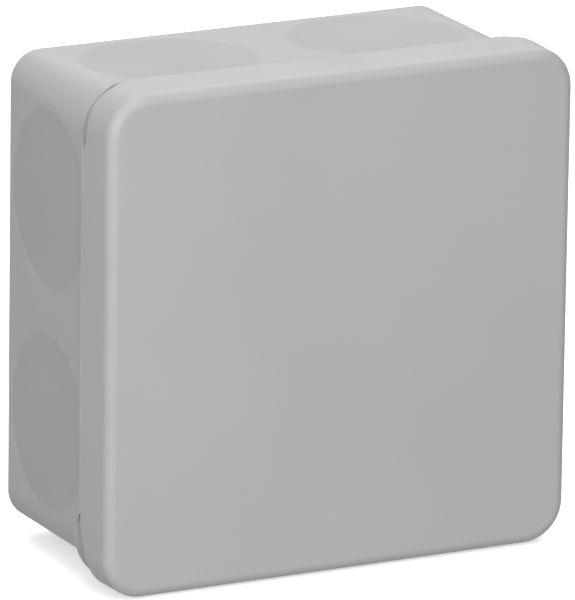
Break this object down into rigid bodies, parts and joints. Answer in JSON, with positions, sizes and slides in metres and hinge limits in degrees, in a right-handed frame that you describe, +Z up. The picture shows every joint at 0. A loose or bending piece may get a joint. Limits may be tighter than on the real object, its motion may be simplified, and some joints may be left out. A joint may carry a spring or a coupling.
{
  "type": "electrical junction box",
  "caption": "Square surface junction box with a push-on lid, thinned round cable entries and a screw-clamp terminal block inside, for joining wires on a wall.",
  "frame": {"origin": "middle of the rear face, which lies against the wall, and centre of the four wall fixings", "axes": "+Y into the wall, the lid faces -Y; +Z up the wall; +X to the right as one faces the lid"},
  "size_m": [0.1, 0.05, 0.1],
  "materials": {
    "enclosure": "fine-grained matt light grey thermoplastic",
    "gasket": "matt black sealing rubber",
    "terminal_plastic": "off-white polyamide",
    "brass": "drawn brass bar",
    "zinc_steel": "bright zinc-plated steel"
  },
  "bodies": {
    "base": {"base_shell": "enclosure", "terminal_housing": "terminal_plastic", "housing_fixing_screws": "zinc_steel", "current_bar_1": "brass", "current_bar_2": "brass", "current_bar_3": "brass", "current_bar_4": "brass", "current_bar_5": "brass"},
    "lid": {"lid": "enclosure", "lid_gasket": "gasket"},
    "clamp_screw_upper_1": {"clamp_screw_upper_1": "zinc_steel"},
    "clamp_cage_upper_1": {"clamp_cage_upper_1": "zinc_steel"},
    "clamp_screw_lower_1": {"clamp_screw_lower_1": "zinc_steel"},
    "clamp_cage_lower_1": {"clamp_cage_lower_1": "zinc_steel"},
    "clamp_screw_upper_2": {"clamp_screw_upper_2": "zinc_steel"},
    "clamp_cage_upper_2": {"clamp_cage_upper_2": "zinc_steel"},
    "clamp_screw_lower_2": {"clamp_screw_lower_2": "zinc_steel"},
    "clamp_cage_lower_2": {"clamp_cage_lower_2": "zinc_steel"},
    "clamp_screw_upper_3": {"clamp_screw_upper_3": "zinc_steel"},
    "clamp_cage_upper_3": {"clamp_cage_upper_3": "zinc_steel"},
    "clamp_screw_lower_3": {"clamp_screw_lower_3": "zinc_steel"},
    "clamp_cage_lower_3": {"clamp_cage_lower_3": "zinc_steel"},
    "clamp_screw_upper_4": {"clamp_screw_upper_4": "zinc_steel"},
    "clamp_cage_upper_4": {"clamp_cage_upper_4": "zinc_steel"},
    "clamp_screw_lower_4": {"clamp_screw_lower_4": "zinc_steel"},
    "clamp_cage_lower_4": {"clamp_cage_lower_4": "zinc_steel"},
    "clamp_screw_upper_5": {"clamp_screw_upper_5": "zinc_steel"},
    "clamp_cage_upper_5": {"clamp_cage_upper_5": "zinc_steel"},
    "clamp_screw_lower_5": {"clamp_screw_lower_5": "zinc_steel"},
    "clamp_cage_lower_5": {"clamp_cage_lower_5": "zinc_steel"}
  },
  "joints": [
    {"name": "lid_pull", "type": "slide", "parent": "base", "child": "lid", "axis": [0, -1, 0], "range_m": [0, 0.06]},
    {"name": "turn_upper_1", "type": "hinge", "parent": "base", "child": "clamp_screw_upper_1", "pos_m": [-0.02, -0.018, 0.0066], "axis": [0, 1, 0], "range_deg": [0, 2881]},
    {"name": "rise_upper_1", "type": "slide", "parent": "base", "child": "clamp_cage_upper_1", "axis": [0, -1, 0], "range_m": [0, 0.004]},
    {"name": "turn_lower_1", "type": "hinge", "parent": "base", "child": "clamp_screw_lower_1", "pos_m": [-0.02, -0.018, -0.0066], "axis": [0, 1, 0], "range_deg": [0, 2881]},
    {"name": "rise_lower_1", "type": "slide", "parent": "base", "child": "clamp_cage_lower_1", "axis": [0, -1, 0], "range_m": [0, 0.004]},
    {"name": "turn_upper_2", "type": "hinge", "parent": "base", "child": "clamp_screw_upper_2", "pos_m": [-0.01, -0.018, 0.0066], "axis": [0, 1, 0], "range_deg": [0, 2881]},
    {"name": "rise_upper_2", "type": "slide", "parent": "base", "child": "clamp_cage_upper_2", "axis": [0, -1, 0], "range_m": [0, 0.004]},
    {"name": "turn_lower_2", "type": "hinge", "parent": "base", "child": "clamp_screw_lower_2", "pos_m": [-0.01, -0.018, -0.0066], "axis": [0, 1, 0], "range_deg": [0, 2881]},
    {"name": "rise_lower_2", "type": "slide", "parent": "base", "child": "clamp_cage_lower_2", "axis": [0, -1, 0], "range_m": [0, 0.004]},
    {"name": "turn_upper_3", "type": "hinge", "parent": "base", "child": "clamp_screw_upper_3", "pos_m": [0, -0.018, 0.0066], "axis": [0, 1, 0], "range_deg": [0, 2881]},
    {"name": "rise_upper_3", "type": "slide", "parent": "base", "child": "clamp_cage_upper_3", "axis": [0, -1, 0], "range_m": [0, 0.004]},
    {"name": "turn_lower_3", "type": "hinge", "parent": "base", "child": "clamp_screw_lower_3", "pos_m": [0, -0.018, -0.0066], "axis": [0, 1, 0], "range_deg": [0, 2881]},
    {"name": "rise_lower_3", "type": "slide", "parent": "base", "child": "clamp_cage_lower_3", "axis": [0, -1, 0], "range_m": [0, 0.004]},
    {"name": "turn_upper_4", "type": "hinge", "parent": "base", "child": "clamp_screw_upper_4", "pos_m": [0.01, -0.018, 0.0066], "axis": [0, 1, 0], "range_deg": [0, 2881]},
    {"name": "rise_upper_4", "type": "slide", "parent": "base", "child": "clamp_cage_upper_4", "axis": [0, -1, 0], "range_m": [0, 0.004]},
    {"name": "turn_lower_4", "type": "hinge", "parent": "base", "child": "clamp_screw_lower_4", "pos_m": [0.01, -0.018, -0.0066], "axis": [0, 1, 0], "range_deg": [0, 2881]},
    {"name": "rise_lower_4", "type": "slide", "parent": "base", "child": "clamp_cage_lower_4", "axis": [0, -1, 0], "range_m": [0, 0.004]},
    {"name": "turn_upper_5", "type": "hinge", "parent": "base", "child": "clamp_screw_upper_5", "pos_m": [0.02, -0.018, 0.0066], "axis": [0, 1, 0], "range_deg": [0, 2881]},
    {"name": "rise_upper_5", "type": "slide", "parent": "base", "child": "clamp_cage_upper_5", "axis": [0, -1, 0], "range_m": [0, 0.004]},
    {"name": "turn_lower_5", "type": "hinge", "parent": "base", "child": "clamp_screw_lower_5", "pos_m": [0.02, -0.018, -0.0066], "axis": [0, 1, 0], "range_deg": [0, 2881]},
    {"name": "rise_lower_5", "type": "slide", "parent": "base", "child": "clamp_cage_lower_5", "axis": [0, -1, 0], "range_m": [0, 0.004]}
  ],
  "couplings": [
    {"joint": "turn_upper_1", "follows": "rise_upper_1", "rad_per_m": 12566},
    {"joint": "turn_lower_1", "follows": "rise_lower_1", "rad_per_m": 12566},
    {"joint": "turn_upper_2", "follows": "rise_upper_2", "rad_per_m": 12566},
    {"joint": "turn_lower_2", "follows": "rise_lower_2", "rad_per_m": 12566},
    {"joint": "turn_upper_3", "follows": "rise_upper_3", "rad_per_m": 12566},
    {"joint": "turn_lower_3", "follows": "rise_lower_3", "rad_per_m": 12566},
    {"joint": "turn_upper_4", "follows": "rise_upper_4", "rad_per_m": 12566},
    {"joint": "turn_lower_4", "follows": "rise_lower_4", "rad_per_m": 12566},
    {"joint": "turn_upper_5", "follows": "rise_upper_5", "rad_per_m": 12566},
    {"joint": "turn_lower_5", "follows": "rise_lower_5", "rad_per_m": 12566}
  ]
}
